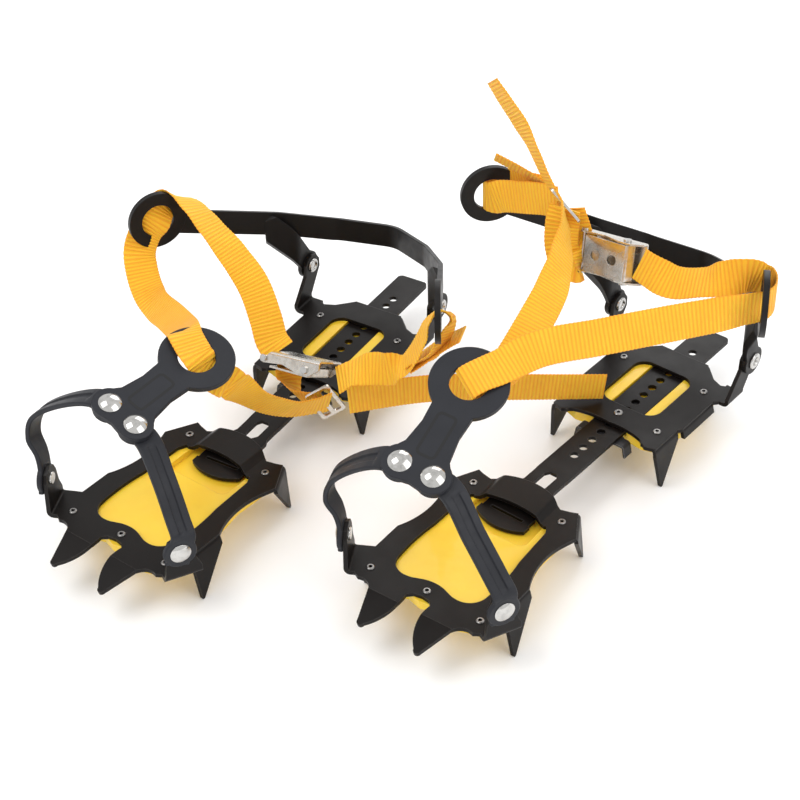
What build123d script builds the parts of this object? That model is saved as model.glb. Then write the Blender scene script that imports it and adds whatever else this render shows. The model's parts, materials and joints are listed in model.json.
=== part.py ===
"""A pair of strap-on ten-point crampons: two plates each, joined by an adjustable bar, with rubber
toe and heel bails and webbing straps.  Millimetres, +Z up, each crampon's toe towards -Y."""
import os
from math import asin, cos, radians, sin, tan

from build123d import *

# ---- driving dimensions -------------------------------------------------------------------
SHEET = 2.5  # steel sheet of the plates, ears and bar
FRONT_TOP = 28.5  # top of the front plate above the ground
HEEL_TOP = 29.2  # top of the heel plate
BAR_TOP = 25.9
PAD_BOTTOM = 20.8  # underside of the front anti-balling pad
HEEL_PAD_BOTTOM = 19.0
POCKET_FLOOR = 22.3  # the pads are recessed to here under the bar
BEND = 2.5  # centreline radius of the bends in the sheet
RIVET_SHANK = 1.8  # radius of the tubular plate rivets
PIVOT_SHANK = 2.5  # radius of the four ear rivets
PIVOT_CLEARANCE = 0.05
BAR_HALF = 11.0
HOLE_RADIUS = 2.75
HOLE_PITCH = 9.15
HOLE_FIRST = 58.0
HOLES = 15
BAR_END = 213.0
RUBBER = 3.0  # thickness of the arms and the heel band
RING_PLATE = 3.5
TOE_RING = (21.75, 10.75)  # outer and inner radius
HEEL_RING = (18.5, 10.5)
STEM = 57.5  # from the snap rivets to the centre of the toe ring
SNAP_HALF = 9.75  # half the spacing of the two snap rivets
TOE_EAR = (50.25, -91.4, 47.9)  # middle of the front ear at its rivet
EAR_TURN = 27.0  # the front ears face this far towards the toe
CLAW_ROOT = -104.0  # the two front claws are bent down here
CLAW_BEND = 14.0
HEEL_EAR = (46.85, 170.4, 52.4)
WEB_WIDTH = 20.0
WEB_THICK = 1.3
SWIVEL_Y = 8.0  # the bar swings about this point of the front plate
ARM_GAP = 0.3  # between the ring piece and the arms under it
BAND_WIDTH = 15.5
BUCKLE_SHEET = 1.2
FLANGE = 11.6  # from the buckle's middle to the middle of each flange
BUCKLE_PIVOT = (10.0, 2.2)
BUCKLE_BAR = (-20.0, 0.3)
SLIDER = (25.0, 16.0)

PAIR_MIDDLE = (-92.27, 13.35)  # middle of the pair's box, which becomes the origin

# the two crampons as they lie: place, swing of the bar, length setting and set of the bails
CRAMPONS = {
    "a": dict(
        origin=(-165.6, -60.8), yaw=-1.75, swing=6.65, heel_shift=-6.5, bar_shift=2.65,
        snaps=(0.0, -73.6, 105.3), stem_end=(2.0, -16.3, 109.5), roll=18.0,
        heel_ring=(100.0, 79.0, 118.0), band_lean=0.0,
        band_plan=((60, 150), (33, 178), (0, 190)), band_side=((150, 88), (176, 77), (192, 73)),
        buckle=((-156, 3, 60), (36, 3, 5), (0.35, -0.75, 0.55)),
        slider=((-133, -5, 46), (0.17, 0.43, -0.88), (0.62, 0.78, 0)),
    ),
    "b": dict(
        origin=(0.0, 0.0), yaw=0.0, swing=-3.59, heel_shift=0.0, bar_shift=0.0,
        snaps=(-5.0, -87.4, 111.6), stem_end=(-9.0, -34.5, 131.2), roll=13.0,
        heel_ring=(93.8, 110.0, 142.0), band_lean=-9.3,
        band_plan=((60, 160), (36, 187), (0, 200)), band_side=((160, 107), (187, 90), (201, 80)),
        buckle=((-6, 107, 135), (42, -2, 5), (-0.1, 0.3, 0.95)),
        slider=((-40, 108, 158), (16, 2, -15), (0.5, -0.7, 0.5)),
    ),
}


# Webbing as it lies, in the pair's frame: for each held run the points and width directions, and for
# each free tail its points and its width direction.
HELD = {
    "a_long_strap_front": [
        ((-279.0, -3.0, 92.0), (0.5, 0.85, 0.1)), ((-262.0, -15.0, 85.0), (0.5, 0.6, 0.6)),
        ((-225.0, -34.0, 88.0), (0.4, 0.7, 0.55)), ((-198.0, -50.0, 108.0), (0.5, 0.8, 0.2)),
        ((-186.0, -59.0, 121.0), (0.55, 0.8, -0.1)), ((-176.0, -68.0, 119.0), (0.55, 0.8, -0.1)),
    ],
    "a_long_strap_middle": [
        ((-164.0, -77.0, 104.0), (0.4, 0.9, 0.0)), ((-155.0, -79.0, 99.0), (0.35, 0.9, -0.1)),
        ((-147.0, -76.0, 90.0), (0.5, 0.8, 0.2)), ((-144.0, -62.0, 70.0), (0.7, 0.4, 0.5)),
        ((-145.0, -45.0, 57.0), (0.7, 0.1, 0.7)), ((-142.0, -27.0, 50.0), (0.5, -0.1, 0.85)),
        ((-139.0, -16.0, 47.0), (0.4, -0.3, 0.85)),
    ],
    "a_long_strap_back": [
        ((-250.0, 18.0, 129.0), (0.2, 0.95, 0.2)), ((-233.0, 20.0, 122.0), (0.3, 0.9, 0.3)),
        ((-202.0, 18.0, 90.0), (0.4, 0.8, 0.45)), ((-186.0, 8.0, 72.0), (0.4, 0.6, 0.5)),
        ((-182.0, 3.0, 64.0), (0.35, 0.55, 0.6)),
    ],
    "a_short_strap": [
        ((-122.0, 9.0, 67.0), (-0.5, 0.85, 0.0)), ((-111.0, 13.0, 70.0), (-0.4, 0.5, 0.75)),
        ((-100.0, 15.0, 73.0), (-0.2, 0.1, 0.97)), ((-89.0, 17.0, 80.0), (-0.6, 0.4, 0.65)),
        ((-81.0, 20.0, 93.0), (-0.6, 0.75, 0.2)),
    ],
    "b_long_strap_front": [
        ((80.0, 91.0, 141.5), (0.15, -0.1, 0.97)), ((45.0, 44.0, 141.5), (0.1, -0.1, 0.98)),
        ((12.0, 0.0, 142.0), (0.1, -0.2, 0.96)),
    ],
    "b_long_strap_middle": [
        ((-10.0, -36.0, 125.0), (0.9, -0.2, 0.1)), ((-10.0, -24.0, 122.5), (0.95, 0.0, 0.0)),
        ((-8.0, -6.0, 126.0), (0.95, 0.05, -0.1)), ((-8.0, 20.0, 133.0), (0.9, 0.3, -0.2)),
        ((-13.0, 60.0, 143.0), (0.8, 0.4, -0.4)), ((-30.0, 94.0, 153.0), (0.75, 0.1, -0.65)),
    ],
    "b_long_strap_back": [
        ((19.0, 105.0, 136.0), (-0.1, 0.4, 0.9)), ((34.0, 107.0, 132.0), (0.0, 0.8, 0.6)),
        ((50.0, 109.0, 137.0), (-0.1, 0.9, 0.4)), ((70.0, 110.0, 149.0), (-0.3, 0.8, 0.5)),
        ((76.0, 110.0, 151.0), (-0.2, 0.85, 0.45)),
    ],
    "b_short_strap": [
        ((-84.0, 112.0, 149.0), (0.2, 0.1, 0.95)), ((-70.0, 110.0, 152.5), (0.3, 0.1, 0.9)),
        ((-55.0, 109.0, 156.0), (0.5, 0.1, 0.8)),
    ],
    "b_short_strap_loop": [
        ((-40.0, 103.0, 145.0), (0.7, 0.3, 0.4)), ((-37.0, 102.0, 131.0), (0.6, 0.6, 0.2)),
        ((-33.0, 103.0, 122.0), (0.5, 0.6, 0.4)), ((-31.0, 104.0, 124.0), (0.4, 0.6, 0.6)),
    ],
}
TAILS = {
    "a_long_strap_tail": (
        [(-122, 3, 47), (-104, 22, 48.5), (-85, 41, 48.5), (-58, 64, 46), (-31, 87, 43), (-7, 108, 40.5)],
        (0.0, 0.07, 1.0),
    ),
    "a_short_strap_tail": ([(-88, 29, 82), (-76, 34, 92), (-62, 38, 100)], (0.5, -0.8, 0.2)),
    "b_long_strap_tail": (
        [(-53, 106, 175), (-69, 107.5, 201), (-90, 107.5, 223)],
        (0.55, -0.6, 0.45),
    ),
    "b_short_strap_tail": (
        [(-57, 117, 159), (-67, 114, 165), (-77, 111, 170), (-88, 107, 174)], (0.2, -0.5, 0.8)),
}


# ---- helpers ------------------------------------------------------------------------------
def keep(part, name):
    part = part.moved(Location((-PAIR_MIDDLE[0], -PAIR_MIDDLE[1], 0)))
    part.label = name
    export_step(part, f"parts/{name}.step")


def bent_tab(root, heading, rise, width, outline, reach=10.0, lean=0.0):
    """A tab bent out of flat sheet: root is the middle of the bend line at mid-sheet, heading the way
    out of the sheet in degrees, and outline its face in (along the bend, up) coordinates."""
    out = Vector(cos(radians(heading)), sin(radians(heading)), 0)
    along = Vector(sin(radians(heading)), -cos(radians(heading)), 0)
    with BuildPart() as tab:
        with BuildSketch(Plane(origin=root, x_dir=out, z_dir=along)):
            with BuildLine():
                FilletPolyline((-reach, 0), (0, 0), (lean, rise), radius=BEND)
            trace(line_width=SHEET)
        extrude(amount=width, both=True)
        with BuildSketch(Plane(origin=root, x_dir=along, z_dir=-out)):
            with BuildLine():
                Polyline(*outline, close=True)
            make_face()
        extrude(amount=60, both=True, mode=Mode.INTERSECT)
    return tab.part


def ribbon(stations, thickness, width_at=None):
    """A flat strap through stations of (point, width direction, width)."""
    points = [Vector(*station[0]) for station in stations]
    with BuildPart() as strap:
        for i, (_, across, width) in enumerate(stations):
            before, after = points[max(i - 1, 0)], points[min(i + 1, len(points) - 1)]
            legs = [leg.normalized() for leg in (points[i] - before, after - points[i]) if leg.length]
            along = sum(legs, Vector(0, 0, 0)).normalized()
            side = Vector(*across)
            side = (side - along * side.dot(along)).normalized()
            with BuildSketch(Plane(origin=points[i], x_dir=side, z_dir=along)):
                Rectangle(width, thickness)
        loft(ruled=True)
    return strap.part


def ear_seat(ear, side, turn=0.0):
    """The plane of an ear at its rivet, facing outwards and turned this far towards the toe."""
    out = Vector(side * cos(radians(turn)), -sin(radians(turn)), 0)
    return Plane(origin=(side * ear[0], ear[1], ear[2]), z_dir=out)


# ---- front plate --------------------------------------------------------------------------
FRONT_RIVETS = ((36.4, -89.9), (-36.4, -89.9), (0, -87.5), (30.1, 1.0), (-30.1, 1.0))


def front_plate():
    middle = FRONT_TOP - SHEET / 2
    with BuildPart() as plate:
        with BuildSketch(Plane.XY.offset(FRONT_TOP - SHEET)):
            with BuildLine():
                Polyline((0, 10), (22, 10), (24, 9.5), (30, 11), (34, 12.5), (44, -6), (40.5, -16))
                ThreePointArc((40.5, -16), (38.5, -32), (44.3, -54))
                Polyline((44.3, -54), (44.3, -76), (49, -80), (41.5, -97.5), (38, -99.5))
                ThreePointArc((38, -99.5), (32, -99.4), (27.5, CLAW_ROOT))
                Line((27.5, CLAW_ROOT), (7.6, CLAW_ROOT))
                ThreePointArc((7.6, CLAW_ROOT), (7.5, -99.5), (7.9, -95.5))
                Polyline((7.9, -95.5), (5, -92.8), (0, -92), (0, 10))
            make_face()
            mirror(about=Plane.YZ)
        extrude(amount=SHEET)
        with BuildSketch(Plane.XY.offset(FRONT_TOP - SHEET)):
            with BuildLine():
                Polyline((0, -8), (22, -8), (25, -7), (27.5, -12), (28.5, -40))
                ThreePointArc((28.5, -40), (30, -58), (29.3, -73))
                ThreePointArc((29.3, -73), (25.2, -81.2), (16.5, -83.8))
                ThreePointArc((16.5, -83.8), (14, -83.5), (11.5, -82.7))
                Line((11.5, -82.7), (7, -81))
                ThreePointArc((7, -81), (3.5, -80.17), (0, -79.9))
                Line((0, -79.9), (0, -8))
            make_face()
            mirror(about=Plane.YZ)
        extrude(amount=SHEET, mode=Mode.SUBTRACT)
        tilt = radians(CLAW_BEND)
        with BuildSketch(Plane(origin=(0, CLAW_ROOT, FRONT_TOP), x_dir=(1, 0, 0), z_dir=(0, -sin(tilt), cos(tilt)))):
            with BuildLine():
                Polyline((7.6, 0), (7.6, 0.6), (27.5, 0.6), (27.5, 0), (20.8, -19.5))
                ThreePointArc((20.8, -19.5), (18.4, -21.5), (16.4, -19.5))
                ThreePointArc((16.4, -19.5), (10.3, -10.5), (7.6, 0))
            make_face()
            mirror(about=Plane.YZ)
        extrude(amount=-SHEET)
        # the pressed cover over the bar's head replaces the middle of the rear cross-member
        with BuildSketch(Plane.XY.offset(FRONT_TOP - SHEET)):
            with Locations((0, 2)):
                Rectangle(46, 30)
        extrude(amount=SHEET, mode=Mode.SUBTRACT)
        cover = pressed_cover()
        add(cover)
        for side in (1, -1):
            mid_tooth = bent_tab(
                (side * 43.5, -66, middle), 90 - side * 90, -FRONT_TOP - 2, 14,
                [(side * s, z) for s, z in ((12, 2), (12, -4), (12.3, -middle), (10.9, -middle), (-12, -5),
                                            (-12, 2))][::side], lean=7)
            add(mid_tooth)
            rear_tooth = bent_tab(
                (side * 39, 3.2, middle), 90 - side * 62, -FRONT_TOP - 2, 12,
                [(side * s, z) for s, z in ((10.5, 2), (10.5, -3), (-5.5, -middle), (-7, -middle),
                                            (-10.5, -4), (-10.5, 2))][::side], lean=3)
            add(rear_tooth)
            seat = ear_seat(TOE_EAR, side, EAR_TURN)
            root = seat.origin - seat.z_dir.cross(Vector(0, 0, 1)) * 1.2 * side
            ear = bent_tab(
                (root.X, root.Y, middle), 90 - side * (90 + EAR_TURN), 31, 11,
                [(side * s, z) for s, z in ((11, -2), (10, 6), (9, 14), (8.7, 21.5), (6.5, 26.5), (1.2, 29),
                                            (-4, 26.5), (-6.5, 21.5), (-8, 12), (-11, 5), (-11, -2))][::side],
                reach=14)
            add(ear)
            with Locations(seat):
                Cylinder(PIVOT_SHANK, 8, mode=Mode.SUBTRACT)
        with Locations([(x, y, middle) for x, y in FRONT_RIVETS]):
            Cylinder(RIVET_SHANK, 8, mode=Mode.SUBTRACT)
    return plate.part


def pressed_cover():
    """The raised lens-shaped bridge that the bar's head passes under."""
    rise = 3.2
    with BuildPart() as cover:
        with BuildSketch(Plane.XZ):
            with BuildLine():
                middle = FRONT_TOP - SHEET / 2
                FilletPolyline((-23.5, middle), (-20.5, middle), (-16.5, middle + rise),
                               (16.5, middle + rise), (20.5, middle), (23.5, middle), radius=2)
            trace(line_width=SHEET)
        extrude(amount=30, both=True)
        with BuildSketch(Plane.XY):
            with BuildLine():
                ThreePointArc((-23.5, 9.6), (0, 17.5), (23.5, 9.6))
                Line((23.5, 9.6), (23.5, -7.6))
                ThreePointArc((23.5, -7.6), (0, -3.5), (-23.5, -7.6))
                Line((-23.5, -7.6), (-23.5, 9.6))
            make_face()
        extrude(amount=60, mode=Mode.INTERSECT)
    return cover.part


def front_anti_balling_pad():
    with BuildPart() as pad:
        with BuildSketch(Plane.XY.offset(PAD_BOTTOM)):
            with BuildLine():
                Polyline((0, 11), (26, 11), (33, 6), (37, -8), (36, -30), (40, -56), (40, -92), (26, -97),
                         (9, -92), (0, -94.5), (0, 11))
            make_face()
            mirror(about=Plane.YZ)
        extrude(amount=FRONT_TOP - SHEET - PAD_BOTTOM)
        with BuildSketch(Plane.XY.offset(POCKET_FLOOR)):
            with Locations((0, -6)):
                RectangleRounded(45, 42, 5)
        extrude(amount=20, mode=Mode.SUBTRACT)
        with Locations([(x, y, PAD_BOTTOM) for x, y in FRONT_RIVETS]):
            Cylinder(RIVET_SHANK, 30, mode=Mode.SUBTRACT)
    return pad.part


def tubular_rivets(places, top, bottom, head=2.35):
    """Hollow rivets standing in the plate, rolled over above it and under the pad."""
    with BuildPart() as rivets:
        for x, y in places:
            with BuildSketch(Plane(origin=(x, y, 0), x_dir=(1, 0, 0), z_dir=(0, -1, 0))):
                with BuildLine():
                    Polyline((1.1, bottom - 0.5), (head, bottom - 0.5), (head, bottom), (RIVET_SHANK, bottom),
                             (RIVET_SHANK, top), (head, top), (head, top + 0.4), (head - 0.5, top + 0.8),
                             (1.1, top + 0.8), (1.1, bottom - 0.5))
                make_face()
            revolve(axis=Axis((x, y, 0), (0, 0, 1)))
    return rivets.part


def domed_rivet(length, dome, height, shank, foot):
    """A rivet along +Z: its foot below z = 0, its shank to z = length and its dome above that."""
    with BuildPart() as rivet:
        with BuildSketch(Plane.XZ):
            with BuildLine():
                Polyline((0, length + height), (0, -0.9), (foot, -0.9), (foot, 0), (shank, 0), (shank, length),
                         (dome, length))
                ball = (dome**2 + height**2) / (2 * height)
                half_way = asin(dome / ball) / 2
                middle = (ball * sin(half_way), length + height - ball * (1 - cos(half_way)))
                ThreePointArc((dome, length), middle, (0, length + height))
            make_face()
        revolve(axis=Axis.Z)
    return rivet.part


def ear_rivets(ear, turn=0.0, dome=6.0):
    """The two pivot rivets: domed head outside, foot rolled over inside the ear."""
    rivet = domed_rivet(SHEET + RUBBER + 0.2, dome, 1.9, PIVOT_SHANK, 3.6)
    with BuildPart() as rivets:
        for side in (1, -1):
            seat = ear_seat(ear, side, turn).offset(-SHEET / 2)
            add(rivet.moved(seat.location))
            with Locations(seat.offset(-0.9)):
                Cylinder(1.6, 3.4, mode=Mode.SUBTRACT)
    return rivets.part


# ---- bar ----------------------------------------------------------------------------------
def bar():
    with BuildPart() as link:
        with BuildSketch(Plane.XY.offset(BAR_TOP - SHEET)):
            with BuildLine():
                ThreePointArc((0, -20), (9, -18.6), (17, -14.5))
                Polyline((17, -14.5), (17, -9.5), (16, -9.5), (16, -3), (12.2, 9), (12.2, 20), (10.8, 23),
                         (10.8, 34), (BAR_HALF, 36), (BAR_HALF, BAR_END - 3))
                ThreePointArc((BAR_HALF, BAR_END - 3), (BAR_HALF - 1, BAR_END - 1), (BAR_HALF - 3, BAR_END))
                Polyline((BAR_HALF - 3, BAR_END), (0, BAR_END), (0, -20))
            make_face()
            mirror(about=Plane.YZ)
            # the slit between the two necks, and the pointed slot behind it
            with Locations((0, -8)):
                Rectangle(22.5, 2, mode=Mode.SUBTRACT)
            with BuildLine():
                Polyline((0, 17), (4.3, 23), (4.3, 34), (2.5, 37), (-2.5, 37), (-4.3, 34), (-4.3, 23), (0, 17))
            make_face(mode=Mode.SUBTRACT)
            with Locations([(0, HOLE_FIRST + HOLE_PITCH * k) for k in range(HOLES)]):
                Circle(HOLE_RADIUS, mode=Mode.SUBTRACT)
        extrude(amount=SHEET)
    return link.part


# ---- heel plate ---------------------------------------------------------------------------
HEEL_RIVETS = ((29.3, 152.3), (-29.3, 152.3), (28.4, 102.4), (-28.4, 102.4))
LOCK_RIVET = (0, 103.4)


def heel_plate():
    bottom = HEEL_TOP - SHEET
    middle = HEEL_TOP - SHEET / 2
    with BuildPart() as plate:
        with BuildSketch(Plane.XY.offset(bottom)):
            with BuildLine():
                ThreePointArc((0, 93), (14, 93), (24, 90.5))
                Polyline((24, 90.5), (30, 86), (37, 88), (37, 111), (39, 114), (39, 147), (41.5, 150),
                         (41.5, 167), (34, 164), (27, 167), (17, 177), (0, 177), (0, 93))
            make_face()
            mirror(about=Plane.YZ)
        extrude(amount=SHEET)
        with BuildSketch(Plane.XY.offset(bottom)):
            with Locations((0, 134.5)):
                RectangleRounded(40, 47, 9)
        extrude(amount=SHEET, mode=Mode.SUBTRACT)
        for side in (1, -1):
            front_tooth = bent_tab(
                (side * 36.5, 99.5, middle), 90 - side * 90, -HEEL_TOP - 2, 14,
                [(side * s, z) for s, z in ((12, 2), (12, -5), (8.3, -middle), (6.9, -middle), (-11.5, -5),
                                            (-11.5, 2))][::side], lean=3.5)
            add(front_tooth)
            rear_tooth = bent_tab(
                (side * 22.5, 171.5, middle), 90 - side * 45, -HEEL_TOP - 2, 9,
                [(s, z) for s, z in ((-7.5, 2), (-7.5, -4), (-0.8, -middle), (0.8, -middle), (7.5, -4),
                                     (7.5, 2))], lean=2, reach=6)
            add(rear_tooth)
            flange = bent_tab(
                (side * 38.2, 130.5, middle), 90 - side * 90, -6, 18,
                ((-16.5, 2), (-16.5, -5.8), (16.5, -5.8), (16.5, 2)), lean=1.5, reach=6)
            add(flange)
            ear = bent_tab(
                (side * HEEL_EAR[0], 158.5, middle), 90 - side * 90, 36, 24,
                [(side * s, z) for s, z in ((8.5, -2), (8.5, 4), (-4, 20), (-4.5, 27), (-8, 31), (-12, 32),
                                            (-16, 31), (-19.5, 26), (-19.5, 20), (-8.5, 4), (-8.5, -2))][::side])
            add(ear)
            with Locations(Plane(origin=(side * HEEL_EAR[0], *HEEL_EAR[1:]), z_dir=(1, 0, 0))):
                Cylinder(PIVOT_SHANK, 8, mode=Mode.SUBTRACT)
        with Locations([(x, y, middle) for x, y in HEEL_RIVETS]):
            Cylinder(RIVET_SHANK, 8, mode=Mode.SUBTRACT)
        with Locations((*LOCK_RIVET, middle)):
            Cylinder(RIVET_SHANK, 8, mode=Mode.SUBTRACT)
    return plate.part


def heel_anti_balling_pad():
    with BuildPart() as pad:
        with BuildSketch(Plane.XY.offset(HEEL_PAD_BOTTOM)):
            with BuildLine():
                Polyline((0, 96), (24, 93), (33, 96), (33, 113), (36, 116), (36, 146), (36, 154), (24, 161),
                         (14, 170), (0, 170), (0, 96))
            make_face()
            mirror(about=Plane.YZ)
        extrude(amount=HEEL_TOP - SHEET - HEEL_PAD_BOTTOM)
        with BuildSketch(Plane.XY.offset(POCKET_FLOOR)):
            with Locations((0, 134)):
                Rectangle(24, 100)
        extrude(amount=20, mode=Mode.SUBTRACT)
        with BuildSketch(Plane.XY.offset(HEEL_PAD_BOTTOM)):
            with Locations((0, 106)):
                Rectangle(20, 52)
        extrude(amount=20, mode=Mode.SUBTRACT)
        with Locations([(x, y, HEEL_PAD_BOTTOM) for x, y in HEEL_RIVETS]):
            Cylinder(RIVET_SHANK, 30, mode=Mode.SUBTRACT)
    return pad.part


def lock_rivet():
    """The larger hollow rivet over the lock pin, in the heel plate only."""
    return tubular_rivets((LOCK_RIVET,), HEEL_TOP, HEEL_TOP - SHEET, head=2.75)


def lock_leaf():
    """The spring leaf under the bar, with a finger wing folded down on each side of the bar."""
    top = BAR_TOP - SHEET - 0.3
    thick = 1.2
    with BuildPart() as leaf:
        with BuildSketch(Plane.XY.offset(top - thick)):
            with BuildLine():
                Polyline((0, 84), (13, 84), (13, 91.5), (9, 94), (9, 129), (0, 129), (0, 84))
            make_face()
            mirror(about=Plane.YZ)
        extrude(amount=thick)
        with BuildSketch(Plane.XZ.offset(-91.5)):
            with BuildLine():
                FilletPolyline((12, top - thick / 2), (16.5, top - thick / 2), (18, top - 8), radius=1.5)
            trace(line_width=thick)
            mirror(about=Plane.YZ)
        extrude(amount=7.5)
        with Locations((*LOCK_RIVET, top)):
            Cylinder(1.6, 10, mode=Mode.SUBTRACT)
    return leaf.part


def lock_pin():
    """The pin on the leaf; its tip stops just under the bar."""
    with BuildPart() as pin:
        with BuildSketch(Plane.XZ.offset(-LOCK_RIVET[1])):
            with BuildLine():
                tip = BAR_TOP - SHEET - 0.2
                Polyline((0, tip - 3.6), (2.5, tip - 3.6), (2.5, tip - 1.3), (1.6, tip - 1.3), (1.6, tip), (0, tip),
                         (0, tip - 3.6))
            make_face()
        revolve(axis=Axis((*LOCK_RIVET, 0), (0, 0, 1)))
    return pin.part


# ---- toe bail -----------------------------------------------------------------------------
def ring_frame(crampon):
    """The plane of the ring piece: x along the two snap rivets, y along the stem to the ring."""
    start, end = Vector(*crampon["snaps"]), Vector(*crampon["stem_end"])
    stem = (end - start).normalized()
    roll = radians(crampon["roll"])
    level = Vector(cos(roll), 0, -sin(roll))
    across = (level - stem * level.dot(stem)).normalized()
    return Plane(origin=start, x_dir=across, z_dir=across.cross(stem))


def toe_ring(crampon):
    frame = ring_frame(crampon)
    with BuildPart() as ring:
        with BuildSketch(frame.offset(-RING_PLATE / 2)):
            with Locations((0, STEM)):
                Circle(TOE_RING[0])
            with BuildLine():
                Polyline((-12, 44), (-11, 26), (-13, 12), (-19, 3), (-SNAP_HALF, -10), (0, -8.5),
                         (SNAP_HALF, -10), (19, 3), (13, 12), (11, 26), (12, 44), close=True)
            make_face()
            with Locations((SNAP_HALF, 0), (-SNAP_HALF, 0)):
                Circle(10)
            with Locations((0, STEM)):
                Circle(TOE_RING[1], mode=Mode.SUBTRACT)
            with Locations((SNAP_HALF, 0), (-SNAP_HALF, 0)):
                Circle(PIVOT_SHANK, mode=Mode.SUBTRACT)
        extrude(amount=RING_PLATE)
    return ring.part


def toe_arm(crampon, side):
    """One arm, from its boss outside the ear up to the snap rivet under the ring piece."""
    frame = ring_frame(crampon)
    under = -(RING_PLATE + RUBBER) / 2 - ARM_GAP
    snap = frame.from_local_coords(Vector(side * SNAP_HALF, 0, under))
    outer = frame.from_local_coords(Vector(side * (SNAP_HALF + 9), 0, under))
    inner = frame.from_local_coords(Vector(side * (SNAP_HALF - 4), 0, under))
    seat = ear_seat(TOE_EAR, side, EAR_TURN).offset(SHEET / 2 + 0.1 + RUBBER / 2)  # 0.1 clear of the ear
    base, out_way = seat.origin, seat.z_dir
    lean = Vector(0, snap.Y - base.Y, snap.Z - base.Z).normalized()
    lean = (lean - out_way * lean.dot(out_way)).normalized()
    across = out_way.cross(lean) * -side
    stem = frame.y_dir
    bulge = ((2.0, 14), (8.0, 23), (3.0, 38)) if side < 0 else ((-0.3, 10), (-6.5, 18), (-23.0, 38))
    stations = [(base - lean * 8, across, 14.0), (base + lean * 7, across, 14.0)]
    for i, (out, up) in enumerate(bulge):
        turn = across * (1 - i / 4) + stem * (i / 4)
        stations.append((base + Vector(side * out, 0, 0) + lean * up, turn.normalized(), 14.0))
    stations += [(outer, stem, 14.5), (inner, stem, 15.0)]
    strap = ribbon([(tuple(p), tuple(w), width) for p, w, width in stations], RUBBER - 0.1)
    with BuildPart() as arm:
        add(strap)
        with BuildSketch(seat.offset(-RUBBER / 2)):
            Circle(9.5)
        extrude(amount=RUBBER)
        with BuildSketch(Plane(origin=snap, x_dir=frame.x_dir, z_dir=frame.z_dir).offset(-RUBBER / 2)):
            Circle(9.4)
        extrude(amount=RUBBER)
        with Locations(seat):
            Cylinder(PIVOT_SHANK + PIVOT_CLEARANCE, 12, mode=Mode.SUBTRACT)
        with Locations(Plane(origin=snap, x_dir=frame.x_dir, z_dir=frame.z_dir)):
            Cylinder(PIVOT_SHANK, 12, mode=Mode.SUBTRACT)
    return arm.part


def snap_rivets(crampon):
    """Two domed rivets through the ring piece and the arms under it."""
    frame = ring_frame(crampon)
    foot = -RING_PLATE / 2 - RUBBER - ARM_GAP
    rivet = domed_rivet(RING_PLATE / 2 - foot, 6.5, 2.7, PIVOT_SHANK, 4.0)
    with BuildPart() as rivets:
        for side in (1, -1):
            seat = Plane(frame.from_local_coords(Vector(side * SNAP_HALF, 0, foot)), frame.x_dir, frame.z_dir)
            add(rivet.moved(seat.location))
    return rivets.part


# ---- heel strap ---------------------------------------------------------------------------
def heel_ring_centre(crampon, side):
    x, y, z = crampon["heel_ring"]
    return Vector(side * x + crampon["band_lean"], y, z)


def ring_run(crampon, side):
    """Plan direction of the band from its ring to its first bend, and the wall's normal there."""
    start = heel_ring_centre(crampon, side)
    x, y = crampon["band_plan"][0]
    run = Vector(side * x + crampon["band_lean"] / 2 - start.X, y - start.Y, 0).normalized()
    return run, Vector(run.Y, -run.X, 0)


def heel_band(crampon):
    """The rubber band round the heel, with a ring at each front end and a leg down to each ear."""
    plan, side_line = crampon["band_plan"], crampon["band_side"]
    lean = crampon["band_lean"] / 2
    ear_y, ear_z = HEEL_EAR[1] + crampon["heel_shift"], HEEL_EAR[2]
    leg_x = HEEL_EAR[0] + SHEET / 2 + 0.1 + RUBBER / 2
    left, right = (heel_ring_centre(crampon, side) for side in (-1, 1))
    path = [(left.X, left.Y), *[(lean - x, y) for x, y in plan[:-1]], (lean, plan[-1][1] + 4),
            *[(lean + x, y) for x, y in reversed(plan[:-1])], (right.X, right.Y)]
    with BuildPart() as band:
        with BuildSketch(Plane.XY):
            with BuildLine():
                FilletPolyline(*path, radius=14)
            trace(line_width=RUBBER)
        extrude(amount=200)
        with BuildSketch(Plane.YZ):
            with BuildLine():
                FilletPolyline((right.Y - 4, right.Z + 1), *side_line[:-1],
                               (side_line[-1][0] + 12, side_line[-1][1] - 4), radius=20)
            trace(line_width=BAND_WIDTH)
        extrude(amount=150, both=True, mode=Mode.INTERSECT)
    top_y = plan[0][1] - 9
    with BuildPart() as legs:
        with BuildSketch(Plane.XY):
            for side in (1, -1):
                with BuildLine():
                    FilletPolyline((side * (plan[0][0] + 5) + lean, top_y), (side * leg_x, ear_y - 12),
                                   (side * leg_x, ear_y + 9.5), radius=8)
                trace(line_width=RUBBER)
        extrude(amount=200)
        with BuildSketch(Plane.YZ):
            with BuildLine():
                Line((top_y - 2, side_line[0][1] + 5), (ear_y, ear_z))
            trace(line_width=13)
            with Locations((ear_y, ear_z)):
                Circle(9)
        extrude(amount=150, both=True, mode=Mode.INTERSECT)
    hubs = [Plane(origin=heel_ring_centre(crampon, side), z_dir=ring_run(crampon, side)[1]) for side in (1, -1)]
    with BuildPart() as strap:
        add(band.part)
        add(legs.part)
        with Locations(*hubs):
            Cylinder(HEEL_RING[0], RUBBER + 0.4)
        with Locations(*hubs):
            Cylinder(HEEL_RING[1], 20, mode=Mode.SUBTRACT)
        with Locations(*[Plane(origin=(side * leg_x, ear_y, ear_z), z_dir=(1, 0, 0)) for side in (1, -1)]):
            Cylinder(PIVOT_SHANK + PIVOT_CLEARANCE, 12, mode=Mode.SUBTRACT)
    return strap.part


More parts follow.
